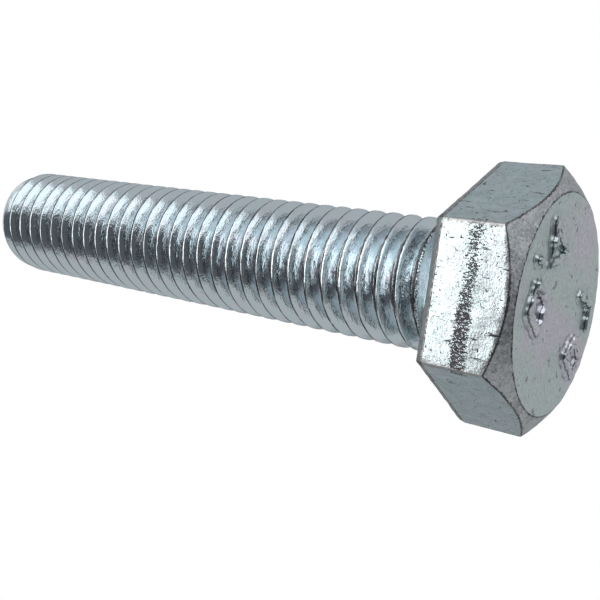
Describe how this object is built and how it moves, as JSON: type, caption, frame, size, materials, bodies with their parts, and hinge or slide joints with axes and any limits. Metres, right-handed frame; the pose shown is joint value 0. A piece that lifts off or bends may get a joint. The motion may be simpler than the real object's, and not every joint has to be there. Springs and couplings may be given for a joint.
{
  "type": "hex bolt",
  "caption": "Hexagon head screw with a metric right-hand thread along its whole shank, a chamfered tip and bright zinc plating, shown lying on one flat of its head.",
  "frame": {"origin": "centre of the round flat top face of the head, on the bolt's axis", "axes": "+X along the bolt's axis, out through the head, with the bearing face at X = -4.7 mm and the tip at X = -44.9 mm; +Z square to a flat of the head, so the head rests on its opposite flat at Z = -6.5 mm"},
  "size_m": [0.0449, 0.015, 0.013],
  "materials": {
    "zinc_plated_steel": "bright blue-passivated zinc plating, satin to shiny, with rolling and forging marks"
  },
  "bodies": {
    "root": {"hex_bolt": "zinc_plated_steel"}
  },
  "joints": []
}
